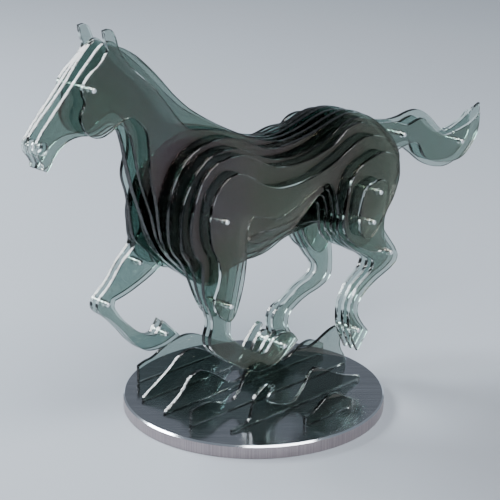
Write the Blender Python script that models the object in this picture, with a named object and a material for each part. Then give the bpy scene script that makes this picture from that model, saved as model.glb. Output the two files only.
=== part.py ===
"""A galloping horse built up from upright sheets of glass, on a round metal base.

Seventeen horse sheets stand side by side, each cut to its own outline, and together they
give the body its roundness. Round rods run across through holes in them. Six lower sheets
stand on the base as waves of ground under the hooves. One rod joins the near fore hoof to
the third of them, and the far hind hoof stands on the base. X runs from the head (-X) to
the tail (+X) and Z runs up. The horse's near side is -Y, and the middle sheet lies on Y = 0.
"""

from math import cos, hypot, pi, sin, sqrt

import bmesh
import bpy

# Driving sizes, in metres
LENGTH = 0.475  # muzzle to the tip of the tail
SHEET = 0.003  # thickness of every glass sheet
SHEET_PITCH = 0.0062  # from one horse sheet to the next
ROD_DIAMETER = 0.004
ROD_PROUD = 0.004  # how far a rod stands out past the last sheet it holds
NOSTRIL_DIAMETER = 0.0085
BASE_DIAMETER = 0.200
BASE_THICKNESS = 0.010
BASE_CHAMFER = 0.001
GROUND_PITCH = 0.0288  # from one ground sheet to the next
FIT = 0.0003  # clearance between pieces that touch
TOLERANCE = 0.0005  # how closely the cut edges follow their curves

ROD_SIDES = 10
NOSTRIL_SIDES = 20
BASE_SIDES = 72

# Looks: colour, roughness, metallic, and 1 where it can be seen through
GLASS = (0.62, 0.72, 0.68), 0.03, 0.0, 1.0
ROD_STEEL = (0.75, 0.76, 0.76), 0.15, 1.0, 0.0
BASE_METAL = (0.62, 0.60, 0.60), 0.30, 1.0, 0.0

# The pose is free form. It counts in 475ths of the length: x from the middle of the base,
# z up from the top of the base. A list of such points is one smooth run of an edge, and
# the edge may turn sharply where one run ends and the next starts.
SHARE = LENGTH / 475

# Heads: down the face to the lips, then back along the jaw, of the middle sheet and of the
# two beside it
FACES = (
    [(-130, 288), (-139, 290), (-145, 294), (-150, 295), (-156, 292), (-165, 283),
     (-176, 271), (-196, 251), (-204, 244), (-208, 238), (-208, 233), (-204, 227),
     (-201, 222)],
    [(-129, 287), (-137, 291), (-143, 295), (-148, 294), (-157, 287), (-166, 279),
     (-183, 262), (-194, 250), (-201, 243), (-206, 237), (-207, 232), (-203, 226),
     (-201, 222)],
)
JAWS = (
    [(-202, 219), (-198, 217), (-192, 219), (-186, 224), (-178, 230), (-168, 233),
     (-154, 232), (-145, 235), (-138, 236), (-132, 230), (-127, 213)],
    [(-201, 219), (-198, 217), (-194, 222), (-189, 228), (-179, 234), (-168, 235),
     (-154, 233), (-144, 236), (-136, 237), (-128, 230), (-122, 211)],
)
# The sheets two places out: ears and cheeks
EAR_FRONT = [(-150, 291), (-152, 297), (-153, 304)]
EAR_BACK = [(-147, 304), (-143, 299), (-140, 290)]
CHEEK = [(-150, 291), (-152, 287), (-162, 279), (-170, 272), (-172, 265), (-170, 259),
         (-174, 250), (-171, 241), (-165, 235), (-156, 233), (-147, 236), (-138, 240),
         (-131, 242), (-124, 238), (-117, 229), (-115, 214)]
# A nostril is a round hole through the three sheets of the muzzle
NOSTRIL = (-201, 233)

# Fronts of the body, from the throat down to the underside of the chest, for the sheets
# 0 to 6 places out from the middle
CHESTS = (
    [(-123, 198), (-118, 181), (-111, 164), (-104, 146), (-95, 132), (-75, 115),
     (-60, 103), (-52, 101), (-44, 106)],
    [(-119, 196), (-114, 180), (-108, 164), (-103, 147), (-94, 133), (-75, 116),
     (-61, 104), (-53, 103), (-45, 108)],
    [(-114, 195), (-110, 180), (-107, 160), (-104, 146), (-96, 133), (-78, 119),
     (-66, 109), (-57, 110), (-47, 115)],
    [(-66, 213), (-86, 205), (-97, 192), (-103, 176), (-104, 158), (-102, 144),
     (-93, 132), (-86, 118)],
    [(-60, 207), (-74, 203), (-87, 191), (-96, 175), (-98, 158), (-97, 142),
     (-90, 131), (-86, 120)],
    [(-56, 203), (-70, 201), (-83, 191), (-91, 174), (-94, 157), (-92, 142),
     (-84, 130), (-83, 117)],
    [(-54, 192), (-66, 190), (-77, 179), (-82, 161), (-80, 144), (-73, 130),
     (-72, 119)],
)
FAR_CHEST_REACH = 5  # how much further forward the far shoulder stands, sheets 2 to 6

# Forelegs: (front and hoof runs), then the run up the back to the elbow
NEAR_FORE = (
    [(-82, 106), (-74, 84), (-77, 71), (-74, 63), (-66, 56), (-52, 47), (-38, 37),
     (-28, 33), (-15, 32), (-2, 36), (15, 46)],
    [(15, 46), (8, 54), (-7, 56)],
    [(-7, 56), (-14, 51), (-21, 45), (-32, 50), (-46, 60), (-56, 70), (-54, 86),
     (-49, 104), (-43, 124), (-38, 138)],
)
FAR_FORE = (
    [(-98, 135), (-108, 126), (-120, 112), (-133, 100), (-133, 94), (-124, 86),
     (-112, 74), (-98, 58), (-86, 50), (-68, 49), (-54, 53)],
    [(-54, 53), (-71, 70)],
    [(-71, 70), (-79, 61), (-87, 63), (-98, 70), (-109, 82), (-117, 92), (-117, 97),
     (-108, 99), (-92, 104), (-78, 110), (-64, 119), (-50, 132)],
)
NEAR_FORE_STUB = [(-78, 100), (-71, 89), (-63, 84), (-57, 88), (-52, 104), (-46, 126)]
FAR_FORE_STUB = [(-91, 131), (-83, 119), (-70, 113), (-54, 118)]

# Undersides, from the elbow to the top of the flank, 0 to 6 places out
BELLIES = (
    [(-36, 109), (-20, 109), (-4, 109), (8, 111), (22, 116), (42, 119), (60, 121)],
    [(-37, 111), (-20, 111), (-4, 111), (8, 113), (22, 118), (42, 121), (60, 122)],
    [(-39, 116), (-20, 115), (-6, 117), (10, 122), (28, 126), (44, 128), (60, 125)],
    [(-32, 122), (-14, 121), (2, 124), (20, 129), (34, 139), (46, 145)],
    [(-28, 131), (-14, 130), (2, 132), (20, 137), (34, 146), (45, 152)],
    [(-28, 141), (-14, 140), (2, 141), (18, 145), (32, 153), (44, 158)],
    [(-46, 145), (-40, 156), (-28, 154), (-15, 150), (-3, 152), (18, 159), (40, 165)],
)
CROTCH = [(80, 120), (105, 119), (128, 122), (142, 134)]

# Hind legs: front and hoof runs, then the run up the back to the buttock
NEAR_HIND = (
    [(51, 138), (50, 126), (57, 116), (69, 106), (82, 98), (92, 91), (89, 84),
     (81, 79), (74, 74), (69, 67), (66, 61), (66, 42), (76, 21)],
    [(76, 21), (88, 35)],
    [(88, 35), (79, 46), (75, 55), (77, 62), (84, 68), (97, 75), (111, 80),
     (119, 84), (121, 90), (117, 97), (109, 108)],
)
FAR_HIND = (
    [(58, 134), (68, 113), (78, 97), (88, 80), (95, 71), (93, 65), (74, 57), (60, 49),
     (49, 45), (45, 38), (46, 26), (43, 16), (37, 8)],
    [(37, 7), (42, 1), (48, 0.3)],
    [(48, 0.3), (70, 16)],
    [(70, 16), (63, 28), (64, 37), (75, 44), (88, 49), (107, 54), (113, 61),
     (113, 76), (112, 96), (115, 112)],
)
NEAR_HIND_STUB = [(50, 132), (52, 119), (62, 110), (78, 102), (92, 100), (102, 104),
                  (101, 118)]
FAR_HIND_STUB = [(62, 136), (70, 116), (74, 102), (83, 90), (93, 84), (101, 90),
                 (104, 106)]

# Backs, from the buttock up over the croup to the withers, 0 to 6 places out
BUTTOCKS = (
    [(150, 148), (153, 158)],
    [(149, 149), (151, 160)],
    [(149, 148), (148, 160), (139, 172), (125, 187), (110, 198)],
    [(124, 135), (138, 150), (142, 161), (136, 174), (122, 188), (106, 200)],
    [(117, 121), (127, 135), (135, 153), (133, 166), (123, 180), (108, 194)],
    [(112, 122), (122, 136), (128, 152), (126, 165), (118, 178), (104, 193)],
    [(99, 125), (110, 141), (118, 157), (120, 163), (116, 173), (104, 187)],
)
CROUPS = (
    [(110, 199), (93, 206), (78, 210), (62, 209)],
    [(108, 198), (92, 206), (77, 209), (61, 208)],
    [(94, 206), (78, 209), (64, 207), (50, 203)],
    [(91, 206), (79, 208), (65, 206), (50, 202)],
    [(95, 202), (80, 205), (66, 202), (50, 195)],
    [(90, 200), (78, 203), (66, 201), (54, 193)],
    [(90, 192), (78, 193), (64, 188), (50, 182)],
)
SADDLES = (
    [(35, 202), (14, 199), (-10, 204), (-35, 217), (-57, 229)],
    [(35, 201), (14, 199), (-10, 203), (-35, 215), (-57, 227)],
    [(34, 200), (14, 198), (-10, 204), (-36, 214), (-62, 221)],
    [(33, 199), (14, 196), (-8, 198), (-28, 207), (-46, 213)],
    [(33, 192), (16, 189), (-8, 191), (-27, 199), (-44, 206)],
    [(34, 187), (16, 185), (-10, 187), (-28, 195), (-42, 202)],
    [(32, 176), (16, 173), (-5, 172), (-25, 177), (-41, 187)],
)
FAR_CROUP_DROP = 3  # how much lower the far side of the croup is
CRESTS = (
    [(-71, 238), (-83, 250), (-93, 260), (-103, 270), (-112, 277), (-121, 284)],
    [(-71, 236), (-84, 247), (-94, 257), (-104, 267), (-113, 275), (-122, 282)],
    [(-79, 225), (-90, 237), (-104, 253), (-118, 267), (-129, 276), (-136, 284)],
)

# Tails, of the middle sheet and of the two beside it
TAILS = (
    ([(153, 158), (161, 162), (173, 156), (191, 143), (207, 136), (225, 133), (243, 138),
      (257, 150), (266, 164), (267, 179)],
     [(267, 179), (256, 175), (244, 169), (233, 166), (222, 163), (214, 168), (204, 177),
      (191, 186), (178, 189), (163, 187), (146, 187), (129, 191)]),
    ([(151, 160), (163, 163), (177, 163), (183, 158), (186, 152), (193, 146), (206, 141),
      (222, 138), (238, 139), (250, 147), (258, 158), (260, 173)],
     [(260, 173), (249, 167), (232, 164), (216, 162), (204, 168), (194, 176), (185, 182),
      (178, 182), (167, 180), (155, 184), (140, 187), (125, 190)]),
)

# The two outermost haunch sheets, closed loops
HAUNCHES = (
    [(50, 136), (53, 147), (56, 160), (63, 171), (76, 176), (90, 180), (102, 177),
     (110, 168), (110, 157), (103, 141), (97, 128), (97, 112), (99, 102), (88, 101),
     (75, 106), (65, 112), (56, 119), (51, 127)],
    [(61, 133), (62, 144), (66, 156), (74, 160), (86, 161), (93, 155), (93, 143),
     (88, 132), (80, 121), (73, 117), (64, 122)],
)

# Rods: place, and the sheets they run through, counted from the middle one
RODS = {
    "rod_cheek": ((-165, 267), -2, 2),
    "rod_shoulder": ((-69, 161), -6, 6),
    "rod_near_forearm": ((-65, 97), -6, -3),
    "rod_far_forearm": ((-95, 122), 4, 5),
    "rod_far_knee": ((-126, 98), 4, 5),
    "rod_far_fore_hoof": ((-71, 60), 4, 5),
    "rod_haunch_upper": ((80, 153), -8, 8),
    "rod_haunch_lower": ((73, 131), -8, 8),
    "rod_near_hock": ((109, 95), -6, -4),
    "rod_near_hind_hoof": ((73, 40), -6, -4),
    "rod_near_fore_hoof": ((-3, 47), -5, -4),
    "rod_tail_root": ((158, 174), -1, 1),
    "rod_tail_tip": ((233, 154), -1, 1),
}
# This one runs on through a ground sheet, which holds the horse up
HOLDING_ROD = "rod_near_fore_hoof"
HOLDING_GROUND = 2

# Ground sheets, from the near one to the far one: the top edge between the two ends
GROUND = (
    [(-15, 7), (-10, 9), (-3, 13), (6, 16), (14, 16), (20, 13), (27, 8)],
    [(-58, 3), (-49, 5), (-44, 20), (-30, 27), (-26, 22), (-30, 14), (-22, 10),
     (-4, 4), (6, 10), (20, 25), (34, 19), (52, 10)],
    [(-73, 13), (-65, 14), (-45, 8), (-37, 8), (-31, 13), (-24, 27), (-15, 47), (-5, 55),
     (5, 48), (9, 32), (16, 24), (29, 28), (48, 27), (62, 32), (74, 35), (80, 34),
     (82, 16)],
    [(-68, 9), (-62, 13), (-56, 20), (-49, 24), (-41, 24), (-28, 17), (-8, 4), (6, 8), (20, 16),
     (38, 11), (56, 9), (70, 14), (80, 14)],
    [(-68, 7), (-58, 13), (-46, 20), (-36, 27), (-22, 28), (-8, 21), (8, 9),
     (22, 4), (32, 15), (48, 30), (53, 27), (48, 17), (54, 10)],
    [(-48, 16), (-40, 17), (-28, 22), (-6, 26), (10, 22), (28, 12), (42, 6)],
)
# How far each stops short of the rim of the base, left and right, and how high its two
# ends stand, in 475ths of the length
GROUND_GAPS = ((0.048, 0.037), (0.023, 0.017), (0.0185, 0.0105), (0.019, 0.007),
               (0.014, 0.017), (0.013, 0.020))
GROUND_ENDS = ((8, 6.5), (2, 3), (12, 4), (2, 8), (3, 6), (14, 4))


def plain(name, look):
    """A plain material, glass where it can be seen through."""
    colour, roughness, metallic, see_through = look
    material = bpy.data.materials.new(name)
    material.use_nodes = True
    shader = material.node_tree.nodes["Principled BSDF"]
    shader.inputs["Base Color"].default_value = (*colour, 1.0)
    shader.inputs["Roughness"].default_value = roughness
    shader.inputs["Metallic"].default_value = metallic
    shader.inputs["Transmission Weight"].default_value = see_through
    return material


def place(x, z):
    """The real place, in metres, of a point of the pose."""
    return (x * SHARE, BASE_THICKNESS + z * SHARE)


def shifted(points, x=0, z=0):
    return [(px + x, pz + z) for px, pz in points]


def smooth(run, steps=10):
    """A smooth line through the points of a run, closed if it ends where it starts."""
    run = [a for a, b in zip(run, run[1:]) if a != b] + run[-1:]
    if len(run) < 3:
        return run
    if run[0] == run[-1]:
        run = [run[-2], *run, run[1]]
    else:
        first = (2 * run[0][0] - run[1][0], 2 * run[0][1] - run[1][1])
        last = (2 * run[-1][0] - run[-2][0], 2 * run[-1][1] - run[-2][1])
        run = [first, *run, last]
    line = []
    for a, b, c, d in zip(run, run[1:], run[2:], run[3:]):
        ta = 0.0
        tb = ta + sqrt(hypot(b[0] - a[0], b[1] - a[1]))
        tc = tb + sqrt(hypot(c[0] - b[0], c[1] - b[1]))
        td = tc + sqrt(hypot(d[0] - c[0], d[1] - c[1]))
        for step in range(steps):
            t = tb + (tc - tb) * step / steps
            mix = []
            for i in (0, 1):
                ab = a[i] + (b[i] - a[i]) * (t - ta) / (tb - ta)
                bc = b[i] + (c[i] - b[i]) * (t - tb) / (tc - tb)
                cd = c[i] + (d[i] - c[i]) * (t - tc) / (td - tc)
                abc = ab + (bc - ab) * (t - ta) / (tc - ta)
                bcd = bc + (cd - bc) * (t - tb) / (td - tb)
                mix.append(abc + (bcd - abc) * (t - tb) / (tc - tb))
            line.append(tuple(mix))
    line.append(run[-2])
    return line


def thin(line, tolerance):
    """The line with only the points that it needs to stay within the tolerance."""
    (ax, az), (bx, bz) = line[0], line[-1]
    span = hypot(bx - ax, bz - az)
    worst, where = 0.0, 0
    for i, (x, z) in enumerate(line[1:-1], 1):
        if span > 1e-9:
            off = abs((bx - ax) * (z - az) - (bz - az) * (x - ax)) / span
        else:
            off = hypot(x - ax, z - az)
        if off > worst:
            worst, where = off, i
    if worst <= tolerance:
        return [line[0], line[-1]]
    return thin(line[: where + 1], tolerance)[:-1] + thin(line[where:], tolerance)


def outline(runs):
    """The closed edge, in metres, of the runs set end to end."""
    edge = []
    for run in runs:
        real = [place(x, z) for x, z in run]
        for point in thin(smooth(real), TOLERANCE):
            if not edge or hypot(point[0] - edge[-1][0], point[1] - edge[-1][1]) > 1e-6:
                edge.append(point)
    if hypot(edge[0][0] - edge[-1][0], edge[0][1] - edge[-1][1]) < 1e-6:
        edge.pop()
    return edge


def horse_runs(index):
    """The runs round one horse sheet, 0 for the middle one and below 0 for a near one."""
    out = abs(index)
    far = index > 0
    if out > 6:
        loop = HAUNCHES[out - 7]
        return [loop + loop[:1]]
    croup = shifted(CROUPS[out], z=-FAR_CROUP_DROP if far and out > 1 else 0)
    chest = CHESTS[out]
    if far and out == 2:
        chest = shifted(chest[:4], x=-FAR_CHEST_REACH) + chest[4:]
    under = chest + BELLIES[out] + CROTCH + BUTTOCKS[out]
    if out < 2:
        low, top = TAILS[out]
        face = FACES[out]
        return [face, JAWS[out] + under[:-1] + low[:1], low,
                top + croup + SADDLES[out] + CRESTS[out] + face[:1]]
    if out == 2:
        return [EAR_FRONT, EAR_FRONT[-1:] + EAR_BACK[:1],
                EAR_BACK + (CHEEK + under + croup + SADDLES[2] + CRESTS[2])[::-1]]
    if far:
        chest = chest[:2] + shifted(chest[2:6 if out in (4, 5) else -2],
                                    x=-FAR_CHEST_REACH)
    if out in (4, 5):
        fore = FAR_FORE if far else NEAR_FORE
    else:
        fore = (FAR_FORE_STUB if far else NEAR_FORE_STUB,)
    if out == 3 or index == 6:
        hind = (FAR_HIND_STUB if far else NEAR_HIND_STUB,)
    else:
        hind = FAR_HIND if far else NEAR_HIND
    upper = BUTTOCKS[out] + croup + SADDLES[out] + chest
    if len(hind) == 1:
        return [upper + fore[0] + BELLIES[out] + hind[0] + upper[:1]]
    if len(fore) == 1:
        return [hind[-1] + upper + fore[0] + BELLIES[out] + hind[0], *hind[1:-1]]
    return [hind[-1] + upper + fore[0], *fore[1:-1],
            fore[-1] + BELLIES[out] + hind[0], *hind[1:-1]]


def slab(name, edge, y):
    """A sheet of glass with the given edge, standing across Y."""
    mesh = bpy.data.meshes.new(name)
    shape = bmesh.new()
    near = [shape.verts.new((x, y - SHEET / 2, z)) for x, z in edge]
    face = shape.faces.new(near)
    grown = bmesh.ops.extrude_face_region(shape, geom=[face])
    moved = [item for item in grown["geom"] if isinstance(item, bmesh.types.BMVert)]
    bmesh.ops.translate(shape, verts=moved, vec=(0, SHEET, 0))
    bmesh.ops.recalc_face_normals(shape, faces=shape.faces)
    shape.to_mesh(mesh)
    shape.free()
    mesh.materials.append(plain(name, GLASS))
    sheet = bpy.data.objects.new(name, mesh)
    bpy.context.scene.collection.objects.link(sheet)
    return sheet


def cylinder(name, spans, radius, sides):
    """Round bars along Y in one object, one for each (x, z, from y, to y)."""
    mesh = bpy.data.meshes.new(name)
    shape = bmesh.new()
    for x, z, start, end in spans:
        rings = []
        for y in (start, end):
            turns = [2 * pi * i / sides for i in range(sides)]
            rings.append([shape.verts.new((x + radius * cos(a), y, z + radius * sin(a)))
                          for a in turns])
        shape.faces.new(rings[0])
        shape.faces.new(rings[1][::-1])
        for i in range(sides):
            j = (i + 1) % sides
            shape.faces.new((rings[0][j], rings[0][i], rings[1][i], rings[1][j]))
    bmesh.ops.recalc_face_normals(shape, faces=shape.faces)
    shape.to_mesh(mesh)
    shape.free()
    mesh.materials.append(plain(name, ROD_STEEL))
    bar = bpy.data.objects.new(name, mesh)
    bpy.context.scene.collection.objects.link(bar)
    return bar


def cutter(name, spans, radius, sides):
    """Hidden round bars that drill the sheets."""
    bars = cylinder(name, spans, radius, sides)
    bars.hide_render = True
    bars.hide_viewport = True
    return bars


def drill(sheet, cutter):
    hole = sheet.modifiers.new(cutter.name, "BOOLEAN")
    hole.operation = "DIFFERENCE"
    hole.solver = "EXACT"
    hole.object = cutter


def base():
    """The round base, with its top rim chamfered."""
    radius = BASE_DIAMETER / 2
    profile = ((radius, 0), (radius, BASE_THICKNESS - BASE_CHAMFER),
               (radius - BASE_CHAMFER, BASE_THICKNESS))
    mesh = bpy.data.meshes.new("base")
    shape = bmesh.new()
    turns = [2 * pi * i / BASE_SIDES for i in range(BASE_SIDES)]
    rings = [[shape.verts.new((r * cos(a), r * sin(a), z)) for a in turns]
             for r, z in profile]
    shape.faces.new(rings[0][::-1])
    shape.faces.new(rings[-1])
    for low, high in zip(rings, rings[1:]):
        for i in range(BASE_SIDES):
            j = (i + 1) % BASE_SIDES
            shape.faces.new((low[i], low[j], high[j], high[i]))
    bmesh.ops.recalc_face_normals(shape, faces=shape.faces)
    shape.to_mesh(mesh)
    shape.free()
    mesh.materials.append(plain("base", BASE_METAL))
    disc = bpy.data.objects.new("base", mesh)
    bpy.context.scene.collection.objects.link(disc)


def ground_y(index):
    return (index - (len(GROUND) - 1) / 2) * GROUND_PITCH


def ground_edge(index):
    """The edge of a ground sheet: flat below, and ending short of the rim of the base."""
    rim = sqrt((BASE_DIAMETER / 2) ** 2 - (abs(ground_y(index)) + SHEET / 2) ** 2)
    left, right = GROUND_GAPS[index][0] - rim, rim - GROUND_GAPS[index][1]
    foot = BASE_THICKNESS + FIT
    start, end = ((BASE_THICKNESS + z * SHARE) for z in GROUND_ENDS[index])
    top = [place(x, z) for x, z in GROUND[index]]
    top = [point for point in top if left + SHEET < point[0] < right - SHEET]
    crest = thin(smooth([(left, start), *top, (right, end)]), TOLERANCE)
    return [(left, foot), *crest, (right, foot)]


def rod_span(first, last):
    return (first * SHEET_PITCH - SHEET / 2 - ROD_PROUD,
            last * SHEET_PITCH + SHEET / 2 + ROD_PROUD)


def main():
    for thing in list(bpy.data.objects):
        bpy.data.objects.remove(thing)

    spans = {}
    for name, (spot, first, last) in RODS.items():
        spans[name] = (*place(*spot), *rod_span(first, last))
    held_to = ground_y(HOLDING_GROUND) + SHEET / 2 + ROD_PROUD
    spans[HOLDING_ROD] = (*spans[HOLDING_ROD][:3], held_to)
    for name, span in spans.items():
        cylinder(name, [span], ROD_DIAMETER / 2, ROD_SIDES)
    holes = [(x, z, start - FIT, end + FIT) for x, z, start, end in spans.values()]
    rod_holes = cutter("rod_holes", holes, ROD_DIAMETER / 2 + FIT, ROD_SIDES)
    muzzle = [(*place(*NOSTRIL), *rod_span(-1, 1))]
    nostril = cutter("nostril", muzzle, NOSTRIL_DIAMETER / 2, NOSTRIL_SIDES)

    for index in range(-8, 9):
        side = "near" if index < 0 else "far"
        name = f"horse_{side}_{abs(index)}" if index else "horse_middle"
        sheet = slab(name, outline(horse_runs(index)), index * SHEET_PITCH)
        drill(sheet, rod_holes)
        if abs(index) < 2:
            drill(sheet, nostril)
    for index in range(len(GROUND)):
        sheet = slab(f"ground_{index + 1}", ground_edge(index), ground_y(index))
        drill(sheet, rod_holes)
    base()


main()
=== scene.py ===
"""A galloping horse of upright glass sheets on a round metal base, as a Blender add-on."""

from math import atan2, pi, radians

import bpy
from mathutils import Matrix, Vector


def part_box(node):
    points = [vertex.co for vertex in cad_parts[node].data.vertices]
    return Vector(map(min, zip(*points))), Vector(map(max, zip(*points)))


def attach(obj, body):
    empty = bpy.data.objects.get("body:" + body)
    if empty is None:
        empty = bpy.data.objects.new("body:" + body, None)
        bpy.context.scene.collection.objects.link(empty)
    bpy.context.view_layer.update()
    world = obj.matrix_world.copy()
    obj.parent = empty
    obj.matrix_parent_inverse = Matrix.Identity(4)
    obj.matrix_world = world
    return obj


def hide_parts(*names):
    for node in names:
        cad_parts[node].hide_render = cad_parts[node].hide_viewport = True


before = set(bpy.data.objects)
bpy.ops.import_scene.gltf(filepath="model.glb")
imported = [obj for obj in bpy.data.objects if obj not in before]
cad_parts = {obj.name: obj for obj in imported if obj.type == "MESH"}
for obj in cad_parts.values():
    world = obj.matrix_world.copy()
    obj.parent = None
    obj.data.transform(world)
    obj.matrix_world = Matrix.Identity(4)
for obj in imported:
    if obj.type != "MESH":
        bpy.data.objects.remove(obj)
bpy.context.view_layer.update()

bl_info = {
    "name": "Layered Glass Horse",
    "version": (1, 0, 0),
    "blender": (4, 5, 0),
    "location": "View3D > Sidebar > Glass Horse",
    "description": "Cuts, polishes and lights a horse built up from sheets of glass",
    "category": "Object",
}

HORSE_SHEETS = [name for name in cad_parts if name.startswith("horse_")]
GROUND_SHEETS = [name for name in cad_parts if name.startswith("ground_")]
RODS = [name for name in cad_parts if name.startswith("rod_")]

# Points, and levels, that are closer together than this are the same
SAME_POINT = 2e-6
SAME_LEVEL = 1e-5

# A face lies square to an axis if its normal goes further along it than the first, and
# slants to it if its normal goes further along it than the second
SQUARE = 0.98
SLANTED = 0.3

# Faces that meet at less than this look like one smooth face
SMOOTH_BELOW = radians(40)

# Sides of the turned pieces, and steps in their rounded edges
ROD_SIDES = 48
DOME_STEPS = 5
BASE_SIDES = 256
FOOT_STEPS = 2

# Depth of brush lines, and how much smoother and rougher they are than the metal as a whole
LINE_DEPTH = 0.0001
SMOOTHEST = 0.8
ROUGHEST = 1.25

# The floor is so wide that no view shows its edge, and just clears the base's underside
FLOOR_SIZE = 80.0
FLOOR_DROP = 0.0002

# Each soft light's place, its width and height, its share of the key power, and its colour.
# All of them point at the lit spot, in the middle of the horse.
SOFTBOXES = {
    "back": ((-0.62, 1.45, 1.36), (1.4, 0.7), 1.2, (0.92, 0.97, 1.0)),
    "top": ((-0.2, -1.1, 1.9), (1.6, 1.2), 0.65, (1.0, 1.0, 1.0)),
    "fill": ((-1.3, -2.1, 1.05), (1.4, 1.0), 0.5, (0.85, 0.93, 1.0)),
}
LIT_SPOT = Vector((0.0, 0.0, 0.15))

# Width of the camera's sensor, in millimetres
SENSOR_WIDTH = 36.0


class SheetSettings(bpy.types.PropertyGroup):
    """How the sheets of glass are cut and what they are made of."""

    arris: bpy.props.FloatProperty(
        name="Arris", description="How far the flat arris along every cut edge reaches in",
        default=0.0004, min=0.0001, max=0.001, precision=4, unit="LENGTH")
    steps: bpy.props.IntProperty(
        name="Curve Steps", description="Straight steps between two points of a cut edge",
        default=5, min=2, max=12)
    corner: bpy.props.FloatProperty(
        name="Corner", description="A cut edge that turns by more than this stays sharp",
        default=radians(58), min=radians(20), max=radians(120), subtype="ANGLE")
    tint: bpy.props.FloatVectorProperty(
        name="Tint", description="Colour that the glass of the horse leaves in the light",
        default=(0.47, 0.56, 0.53), size=3, min=0.0, max=1.0, subtype="COLOR")
    ground_tint: bpy.props.FloatVectorProperty(
        name="Ground Tint", description="The same for the darker sheets that stand as the ground",
        default=(0.40, 0.48, 0.45), size=3, min=0.0, max=1.0, subtype="COLOR")
    # The cut edges are the same glass as the faces. This much paler tint is painted light that
    # makes them glow brighter. Only its slight green is the glass's own.
    edge_tint_painted_glow: bpy.props.FloatVectorProperty(
        name="Edge Tint", description="The same for the cut edges, which are clearer and greener",
        default=(0.90, 1.0, 0.95), size=3, min=0.0, max=1.0, subtype="COLOR")
    frost: bpy.props.FloatProperty(
        name="Frost", description="Roughness of the cut edges where they are polished least",
        default=0.25, min=0.0, max=1.0)
    sheen: bpy.props.FloatVectorProperty(
        name="Sheen", description="Warm colour of what the faces of the sheets mirror",
        default=(1.0, 0.93, 0.86), size=3, min=0.0, max=1.0, subtype="COLOR")
    film: bpy.props.FloatVectorProperty(
        name="Film", description="Thinnest and thickest of the clear film on the glass, in nm",
        default=(420.0, 490.0), size=2, min=0.0, max=1000.0)
    film_refraction: bpy.props.FloatProperty(
        name="Film Refraction", description="How strongly the clear film bends light",
        default=1.475, min=1.0, max=2.0)
    refraction: bpy.props.FloatProperty(
        name="Index of Refraction", description="How strongly the glass bends light",
        default=1.52, min=1.0, max=2.0)


class RodSettings(bpy.types.PropertyGroup):
    """The polished rods that run across through the sheets."""

    dome: bpy.props.FloatProperty(
        name="Dome", description="How far the rounding of a rod's end reaches in",
        default=0.0012, min=0.0002, max=0.0018, precision=4, unit="LENGTH")
    colour: bpy.props.FloatVectorProperty(
        name="Colour", description="Colour of the polished steel",
        default=(0.95, 0.97, 0.97), size=3, min=0.0, max=1.0, subtype="COLOR")


class BaseSettings(bpy.types.PropertyGroup):
    """The round metal base."""

    rim: bpy.props.FloatProperty(
        name="Rim", description="Width of the polished chamfer round the top",
        default=0.0012, min=0.0002, max=0.003, precision=4, unit="LENGTH")
    foot: bpy.props.FloatProperty(
        name="Foot", description="Width of the rounding round the underside",
        default=0.0002, min=0.0001, max=0.002, precision=4, unit="LENGTH")
    side_colour: bpy.props.FloatVectorProperty(
        name="Side Colour", description="Colour of the brushed side",
        default=(0.40, 0.345, 0.355), size=3, min=0.0, max=1.0, subtype="COLOR")
    top_colour: bpy.props.FloatVectorProperty(
        name="Top Colour", description="Colour of the polished top",
        default=(0.46, 0.48, 0.52), size=3, min=0.0, max=1.0, subtype="COLOR")
    top_turn: bpy.props.FloatProperty(
        name="Top Turn", description="How far the brush lines of the top are turned from X",
        default=radians(-45), subtype="ANGLE")
    # Paler and bluer than the top's metal, though it is the same metal: a painted highlight on
    # the chamfer
    rim_highlight_colour: bpy.props.FloatVectorProperty(
        name="Rim Colour", description="Colour of the polished chamfer",
        default=(0.80, 0.84, 0.90), size=3, min=0.0, max=1.0, subtype="COLOR")


class StageSettings(bpy.types.PropertyGroup):
    """Floor, lights and camera."""

    floor_colour: bpy.props.FloatVectorProperty(
        name="Floor Colour", description="Colour of the pale floor",
        default=(0.39, 0.42, 0.465), size=3, min=0.0, max=1.0, subtype="COLOR")
    key_power: bpy.props.FloatProperty(
        name="Key Power", description="Power that each soft light gives its own share of",
        default=70.0, min=0.0, unit="POWER")
    sky_colour: bpy.props.FloatVectorProperty(
        name="Sky Colour", description="Colour of the even light from all round",
        default=(0.60, 0.66, 0.74), size=3, min=0.0, max=1.0, subtype="COLOR")
    sky_strength: bpy.props.FloatProperty(
        name="Sky Strength", description="Strength of the even light from all round",
        default=0.38, min=0.0)
    camera_place: bpy.props.FloatVectorProperty(
        name="Camera Place", description="Where the camera stands",
        default=(-0.8506, -0.8404, 0.5439), size=3, subtype="TRANSLATION", unit="LENGTH")
    camera_down: bpy.props.FloatProperty(
        name="Look Down", description="How far the camera looks down",
        default=radians(19.38), subtype="ANGLE")
    camera_turn: bpy.props.FloatProperty(
        name="Turn", description="How far the camera is turned from looking along +Y",
        default=radians(-45.19), subtype="ANGLE")
    camera_roll: bpy.props.FloatProperty(
        name="Roll", description="How far the camera leans to one side",
        default=radians(0.26), subtype="ANGLE")
    lens: bpy.props.FloatProperty(
        name="Lens", description="Focal length in millimetres on a 36 mm sensor",
        default=122.2, min=20.0, max=300.0)


def alone(piece):
    """Leave only this piece selected and active."""
    bpy.ops.object.select_all(action="DESELECT")
    piece.select_set(True)
    bpy.context.view_layer.objects.active = piece


def edit(piece, work):
    """Run the edit-mode steps in work on one piece."""
    alone(piece)
    bpy.ops.object.mode_set(mode="EDIT")
    work()
    bpy.ops.object.mode_set(mode="OBJECT")


def deselect(piece, kind):
    """Deselect all of a piece, so that edges or faces can be picked from it."""
    def clear():
        bpy.ops.mesh.select_mode(type=kind)
        bpy.ops.mesh.select_all(action="DESELECT")
    edit(piece, clear)


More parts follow.
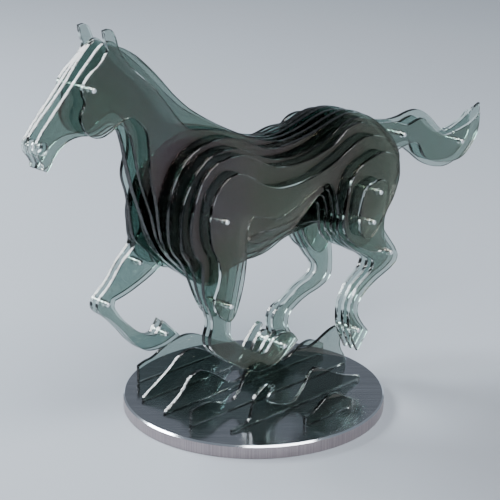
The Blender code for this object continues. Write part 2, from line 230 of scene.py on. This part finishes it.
def select_edges(piece, test):
    """Select the edges whose two ends pass the test, and nothing else."""
    deselect(piece, "EDGE")
    for edge in piece.data.edges:
        edge.select = test(*(piece.data.vertices[i].co for i in edge.vertices))


def select_faces(piece, test):
    """Select the faces that pass the test, and nothing else."""
    deselect(piece, "FACE")
    for face in piece.data.polygons:
        face.select = test(face)


def smooth(piece, plane):
    """Shade a piece smooth, and flat where a face passes the test for a true plane."""
    alone(piece)
    bpy.ops.object.shade_smooth_by_angle(angle=SMOOTH_BELOW)
    select_faces(piece, plane)
    edit(piece, bpy.ops.mesh.faces_shade_flat)


def keep_near_outline(piece):
    """Leave only the outline and the holes of a sheet's near face, once it is turned up."""
    def merge():
        bpy.ops.mesh.select_all(action="SELECT")
        bpy.ops.mesh.remove_doubles(threshold=SAME_POINT)
    edit(piece, merge)
    select_faces(piece, lambda face: face.normal.z > SQUARE)

    def strip():
        bpy.ops.mesh.select_all(action="INVERT")
        bpy.ops.mesh.delete(type="FACE")
        bpy.ops.mesh.select_all(action="SELECT")
        bpy.ops.mesh.region_to_loop()
        bpy.ops.mesh.select_all(action="INVERT")
        bpy.ops.mesh.delete(type="EDGE")
        bpy.ops.mesh.select_all(action="SELECT")
        bpy.ops.mesh.delete(type="ONLY_FACE")
    edit(piece, strip)


def round_off(curve, corner):
    """Smooth handles everywhere but at the sharp corners."""
    def soften():
        bpy.ops.curve.select_all(action="SELECT")
        bpy.ops.curve.spline_type_set(type="BEZIER")
        bpy.ops.curve.handle_type_set(type="AUTOMATIC")
    edit(curve, soften)
    for spline in curve.data.splines:
        points = spline.bezier_points
        count = len(points)
        for i, point in enumerate(points):
            into = point.co - points[i - 1].co
            out = points[(i + 1) % count].co - point.co
            turn = atan2(into.x * out.y - into.y * out.x, into.x * out.x + into.y * out.y)
            if abs(turn) > corner:
                point.handle_left_type = point.handle_right_type = "VECTOR"


def give_thickness(piece, near, far, settings):
    """Make a sheet from its outline, with a flat arris along both sides of every cut edge."""
    curve = piece.data
    curve.dimensions = "2D"
    curve.fill_mode = "BOTH"
    curve.resolution_u = settings.steps
    curve.extrude = (far - near) / 2 - settings.arris
    curve.bevel_depth = settings.arris
    curve.bevel_resolution = 0
    curve.offset = -settings.arris
    piece.rotation_euler = (pi / 2, 0, 0)
    piece.location = (0, (near + far) / 2, 0)
    alone(piece)
    bpy.ops.object.convert(target="MESH")
    sheet = bpy.context.view_layer.objects.active
    bpy.ops.object.transform_apply(location=True, rotation=True, scale=True)

    def close():
        bpy.ops.mesh.select_all(action="SELECT")
        bpy.ops.mesh.remove_doubles(threshold=SAME_POINT)
        bpy.ops.mesh.normals_make_consistent(inside=False)
    edit(sheet, close)
    return sheet


def cut_sheet(name, face_glass, rim_glass, settings):
    """Cut one sheet again along the smooth line of its outline, and polish it."""
    low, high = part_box(name)
    piece = bpy.data.objects.new(name + "_glass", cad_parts[name].data.copy())
    bpy.context.scene.collection.objects.link(piece)
    piece.data.transform(Matrix.Rotation(-pi / 2, 4, "X"))
    keep_near_outline(piece)
    alone(piece)
    bpy.ops.object.convert(target="CURVE")
    piece = bpy.context.view_layer.objects.active
    round_off(piece, settings.corner)
    piece = give_thickness(piece, low[1], high[1], settings)
    smooth(piece, lambda face: abs(face.normal.y) > SQUARE)
    piece.data.materials.clear()
    piece.data.materials.append(face_glass)
    piece.data.materials.append(rim_glass)
    for face in piece.data.polygons:
        face.material_index = 0 if abs(face.normal.y) > SQUARE else 1
    piece.name = piece.data.name = name + "_glass"
    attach(piece, "root")
    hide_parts(name)
    return piece


def new_material(name):
    """A new material, with its nodes and its shader."""
    material = bpy.data.materials.new(name)
    material.use_nodes = True
    return material, material.node_tree, material.node_tree.nodes["Principled BSDF"]


def place_on_piece(tree):
    """Where a point lies on its own piece, so that a pattern stays with the piece."""
    return tree.nodes.new("ShaderNodeTexCoord").outputs["Object"]


def drift(tree, place, scale, detail, spread, low=0.0, high=1.0):
    """A value that drifts over a piece, from low to high as the noise goes through its
    spread."""
    noise = tree.nodes.new("ShaderNodeTexNoise")
    noise.inputs["Scale"].default_value = scale
    noise.inputs["Detail"].default_value = detail
    value = tree.nodes.new("ShaderNodeMapRange")
    value.inputs["From Min"].default_value = spread[0]
    value.inputs["From Max"].default_value = spread[1]
    value.inputs["To Min"].default_value = low
    value.inputs["To Max"].default_value = high
    tree.links.new(place, noise.inputs["Vector"])
    tree.links.new(noise.outputs["Fac"], value.inputs["Value"])
    return value.outputs["Result"]


def shaded(tree, colour, contrast, factor):
    """The colour, darker by the contrast where the factor is 0 and paler where it is 1."""
    shade = tree.nodes.new("ShaderNodeMix")
    shade.data_type = "RGBA"
    shade.inputs["A"].default_value = (*[c * (1 - contrast) for c in colour], 1.0)
    shade.inputs["B"].default_value = (*[min(1.0, c * (1 + contrast)) for c in colour], 1.0)
    tree.links.new(factor, shade.inputs["Factor"])
    return shade.outputs["Result"]


def clear_glass(name, tint, refraction):
    """Glass that is see-through by plain values."""
    material, tree, shader = new_material(name)
    shader.inputs["Base Color"].default_value = (*tint, 1.0)
    shader.inputs["Roughness"].default_value = 0.0
    shader.inputs["IOR"].default_value = refraction
    shader.inputs["Transmission Weight"].default_value = 1.0
    return material, tree, shader


def edge_glass(name, tint, settings):
    """The glass of the cut edges, which the polishing has left a little uneven. Its pale tint is
    painted light that makes the edges brighter than the faces of the same glass.
    """
    material, tree, shader = clear_glass(name, tint, settings.refraction)
    frost = drift(tree, place_on_piece(tree), scale=220.0, detail=2.0, spread=(0.35, 0.75),
                  high=settings.frost)
    tree.links.new(frost, shader.inputs["Roughness"])
    return material


def filmed_glass(name, tint, settings):
    """Smoky glass under a clear film, which tints what it mirrors brown or green."""
    material, tree, shader = clear_glass(name, tint, settings.refraction)
    shader.inputs["Specular Tint"].default_value = (*settings.sheen, 1.0)
    shader.inputs["Thin Film IOR"].default_value = settings.film_refraction
    thinnest, thickest = settings.film
    film = drift(tree, place_on_piece(tree), scale=16.0, detail=1.5, spread=(0.3, 0.7),
                 low=thinnest, high=thickest)
    tree.links.new(film, shader.inputs["Thin Film Thickness"])
    return material


def cut_sheets(names, glass_name, tint, settings):
    """Cut the named sheets from one glass."""
    face_glass = filmed_glass(glass_name, tint, settings)
    rim_glass = edge_glass(glass_name + "_edge", settings.edge_tint_painted_glow, settings)
    for name in names:
        cut_sheet(name, face_glass, rim_glass, settings)


def brushed(name, colour, roughness, grain, relief, contrast, turn=0.0):
    """Metal with fine brush lines. The grain is how long they are, in metres, along X, Y
    and Z, before the turn about Z."""
    material, tree, shader = new_material(name)
    shader.inputs["Metallic"].default_value = 1.0
    stretch = tree.nodes.new("ShaderNodeMapping")
    stretch.vector_type = "TEXTURE"
    stretch.inputs["Scale"].default_value = grain
    stretch.inputs["Rotation"].default_value = (0.0, 0.0, turn)
    tree.links.new(place_on_piece(tree), stretch.inputs["Vector"])
    lines = drift(tree, stretch.outputs["Vector"], scale=1.0, detail=4.0, spread=(0.3, 0.7))
    gloss = tree.nodes.new("ShaderNodeMapRange")
    gloss.inputs["To Min"].default_value = roughness * SMOOTHEST
    gloss.inputs["To Max"].default_value = roughness * ROUGHEST
    bump = tree.nodes.new("ShaderNodeBump")
    bump.inputs["Strength"].default_value = relief
    bump.inputs["Distance"].default_value = LINE_DEPTH
    link = tree.links.new
    link(shaded(tree, colour, contrast, lines), shader.inputs["Base Color"])
    link(lines, gloss.inputs["Value"])
    link(gloss.outputs["Result"], shader.inputs["Roughness"])
    link(lines, bump.inputs["Height"])
    link(bump.outputs["Normal"], shader.inputs["Normal"])
    return material


def rod_steel(colour):
    """Polished steel, with faint rings round the rod from its turning."""
    return brushed("polished_steel", colour, roughness=0.08, grain=(0.003, 0.0003, 0.003),
                   relief=0.05, contrast=0.05)


def base_side(colour):
    """Metal with short upright brush lines."""
    return brushed("brushed_side", colour, roughness=0.34, grain=(0.0011, 0.0011, 0.08),
                   relief=0.25, contrast=0.18)


def base_top(colour, turn):
    """Metal brushed along one line and then polished."""
    return brushed("polished_top", colour, roughness=0.16, grain=(0.06, 0.0016, 1.0),
                   relief=0.08, contrast=0.14, turn=turn)


def base_rim(colour):
    """The metal of the chamfer, where the brush lines are polished away; its colour, paler and
    bluer than the top's, is a painted highlight.
    """
    return brushed("polished_rim_painted_highlight", colour, roughness=0.12, grain=(0.03, 0.03, 0.001),
                   relief=0.0, contrast=0.05)


def matt_paint(name, colour):
    """Pale paint with a faint unevenness."""
    material, tree, shader = new_material(name)
    shader.inputs["Roughness"].default_value = 0.7
    cloud = tree.nodes.new("ShaderNodeTexNoise")
    cloud.inputs["Scale"].default_value = 3.0
    tree.links.new(place_on_piece(tree), cloud.inputs["Vector"])
    paint = shaded(tree, colour, contrast=0.02, factor=cloud.outputs["Fac"])
    tree.links.new(paint, shader.inputs["Base Color"])
    return material


def lay_floor(settings):
    """Lay the wide, plain floor."""
    bpy.ops.object.select_all(action="DESELECT")
    bpy.ops.mesh.primitive_plane_add(size=FLOOR_SIZE, location=(0, 0, -FLOOR_DROP))
    floor = bpy.context.active_object
    floor.name = "floor"
    floor.data.materials.append(matt_paint("floor_paint", settings.floor_colour))


def hang_lights(settings):
    """Hang the soft lights, and give an even light from all round."""
    for name, (place, size, share, colour) in SOFTBOXES.items():
        turn = (LIT_SPOT - Vector(place)).to_track_quat("-Z", "Y").to_euler()
        bpy.ops.object.light_add(type="AREA", location=place, rotation=turn)
        softbox = bpy.context.active_object
        softbox.name = name
        softbox.data.shape = "RECTANGLE"
        softbox.data.size, softbox.data.size_y = size
        softbox.data.energy = settings.key_power * share
        softbox.data.color = colour
    world = bpy.data.worlds.new("studio")
    world.use_nodes = True
    sky = world.node_tree.nodes["Background"]
    sky.inputs["Color"].default_value = (*settings.sky_colour, 1.0)
    sky.inputs["Strength"].default_value = settings.sky_strength
    bpy.context.scene.world = world


def stand_camera(settings):
    """Stand the camera where the photograph was taken from."""
    lean = (Matrix.Rotation(settings.camera_turn, 3, "Z")
            @ Matrix.Rotation(pi / 2 - settings.camera_down, 3, "X")
            @ Matrix.Rotation(settings.camera_roll, 3, "Z"))
    bpy.ops.object.camera_add(location=settings.camera_place, rotation=lean.to_euler())
    camera = bpy.context.active_object
    camera.data.sensor_width = SENSOR_WIDTH
    camera.data.lens = settings.lens
    bpy.context.scene.camera = camera


class HORSE_OT_cut_body(bpy.types.Operator):
    """Cut the seventeen sheets of the horse"""

    bl_idname = "glass_horse.cut_body"
    bl_label = "Cut Horse Sheets"

    def execute(self, context):
        settings = context.scene.glass_horse_sheets
        cut_sheets(HORSE_SHEETS, "horse_glass", settings.tint, settings)
        return {"FINISHED"}


class HORSE_OT_cut_ground(bpy.types.Operator):
    """Cut the sheets that stand on the base as waves of ground"""

    bl_idname = "glass_horse.cut_ground"
    bl_label = "Cut Ground Sheets"

    def execute(self, context):
        settings = context.scene.glass_horse_sheets
        cut_sheets(GROUND_SHEETS, "ground_glass", settings.ground_tint, settings)
        return {"FINISHED"}


class HORSE_OT_turn_rods(bpy.types.Operator):
    """Turn the rods with rounded, polished ends"""

    bl_idname = "glass_horse.turn_rods"
    bl_label = "Turn Rods"

    def execute(self, context):
        settings = context.scene.glass_horse_rods
        steel = rod_steel(settings.colour)
        for name in RODS:
            low, high = (Vector(corner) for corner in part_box(name))
            bpy.ops.object.select_all(action="DESELECT")
            bpy.ops.mesh.primitive_cylinder_add(
                vertices=ROD_SIDES, radius=(high.x - low.x) / 2, depth=high.y - low.y,
                location=(low + high) / 2, rotation=(pi / 2, 0, 0))
            piece = context.active_object
            piece.name = piece.data.name = name + "_steel"
            bpy.ops.object.transform_apply(location=True, rotation=True, scale=True)
            select_edges(piece, lambda start, end: abs(start.y - end.y) < SAME_LEVEL)
            edit(piece, lambda: bpy.ops.mesh.bevel(offset=settings.dome, segments=DOME_STEPS))
            alone(piece)
            bpy.ops.object.shade_smooth_by_angle(angle=SMOOTH_BELOW)
            piece.data.materials.append(steel)
            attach(piece, "root")
            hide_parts(name)
        return {"FINISHED"}


class HORSE_OT_turn_base(bpy.types.Operator):
    """Turn the round base, with a brushed side and a polished top"""

    bl_idname = "glass_horse.turn_base"
    bl_label = "Turn Base"

    def execute(self, context):
        settings = context.scene.glass_horse_base
        low, high = (Vector(corner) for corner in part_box("base"))
        bpy.ops.object.select_all(action="DESELECT")
        bpy.ops.mesh.primitive_cylinder_add(
            vertices=BASE_SIDES, radius=(high.x - low.x) / 2, depth=high.z - low.z,
            location=(0, 0, (low.z + high.z) / 2))
        piece = context.active_object
        piece.name = piece.data.name = "base_disc"
        bpy.ops.object.transform_apply(location=True, rotation=True, scale=True)

        def bevel_edge(height, width, steps):
            select_edges(piece, lambda start, end: abs(start.z - height) < SAME_LEVEL
                         and abs(end.z - height) < SAME_LEVEL)
            edit(piece, lambda: bpy.ops.mesh.bevel(offset=width, segments=steps))
        bevel_edge(high.z, settings.rim, 1)
        bevel_edge(low.z, settings.foot, FOOT_STEPS)
        smooth(piece, lambda face: abs(face.normal.z) > SQUARE)
        for metal in (base_side(settings.side_colour),
                      base_top(settings.top_colour, settings.top_turn),
                      base_rim(settings.rim_highlight_colour)):
            piece.data.materials.append(metal)
        side, top, rim = range(3)
        for face in piece.data.polygons:
            up = face.normal.z
            face.material_index = top if up > SQUARE else rim if up > SLANTED else side
        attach(piece, "root")
        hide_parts("base")
        return {"FINISHED"}


class HORSE_OT_set_stage(bpy.types.Operator):
    """Lay the pale floor, hang the soft lights and stand the camera"""

    bl_idname = "glass_horse.set_stage"
    bl_label = "Set Stage"

    def execute(self, context):
        settings = context.scene.glass_horse_stage
        lay_floor(settings)
        hang_lights(settings)
        stand_camera(settings)
        return {"FINISHED"}


class HORSE_PT_panel(bpy.types.Panel):
    """Lists the steps that make the horse"""

    bl_idname = "HORSE_PT_panel"
    bl_label = "Glass Horse"
    bl_space_type = "VIEW_3D"
    bl_region_type = "UI"
    bl_category = "Glass Horse"

    def draw(self, context):
        for step in STEPS:
            self.layout.operator(step.bl_idname)


STEPS = (HORSE_OT_cut_body, HORSE_OT_cut_ground, HORSE_OT_turn_rods, HORSE_OT_turn_base,
         HORSE_OT_set_stage)
GROUPS = {"glass_horse_sheets": SheetSettings, "glass_horse_rods": RodSettings,
          "glass_horse_base": BaseSettings, "glass_horse_stage": StageSettings}


def register():
    """Make the settings, the steps and the panel known to Blender."""
    for kind in (*GROUPS.values(), *STEPS, HORSE_PT_panel):
        bpy.utils.register_class(kind)
    for name, group in GROUPS.items():
        setattr(bpy.types.Scene, name, bpy.props.PointerProperty(type=group))


def unregister():
    """Take the settings, the steps and the panel away again."""
    for name in GROUPS:
        delattr(bpy.types.Scene, name)
    for kind in (HORSE_PT_panel, *reversed(STEPS), *GROUPS.values()):
        bpy.utils.unregister_class(kind)


def main():
    """Make the horse step by step."""
    register()
    bpy.ops.glass_horse.cut_body()
    bpy.ops.glass_horse.cut_ground()
    bpy.ops.glass_horse.turn_rods()
    bpy.ops.glass_horse.turn_base()
    bpy.ops.glass_horse.set_stage()


if __name__ == "__main__":
    main()
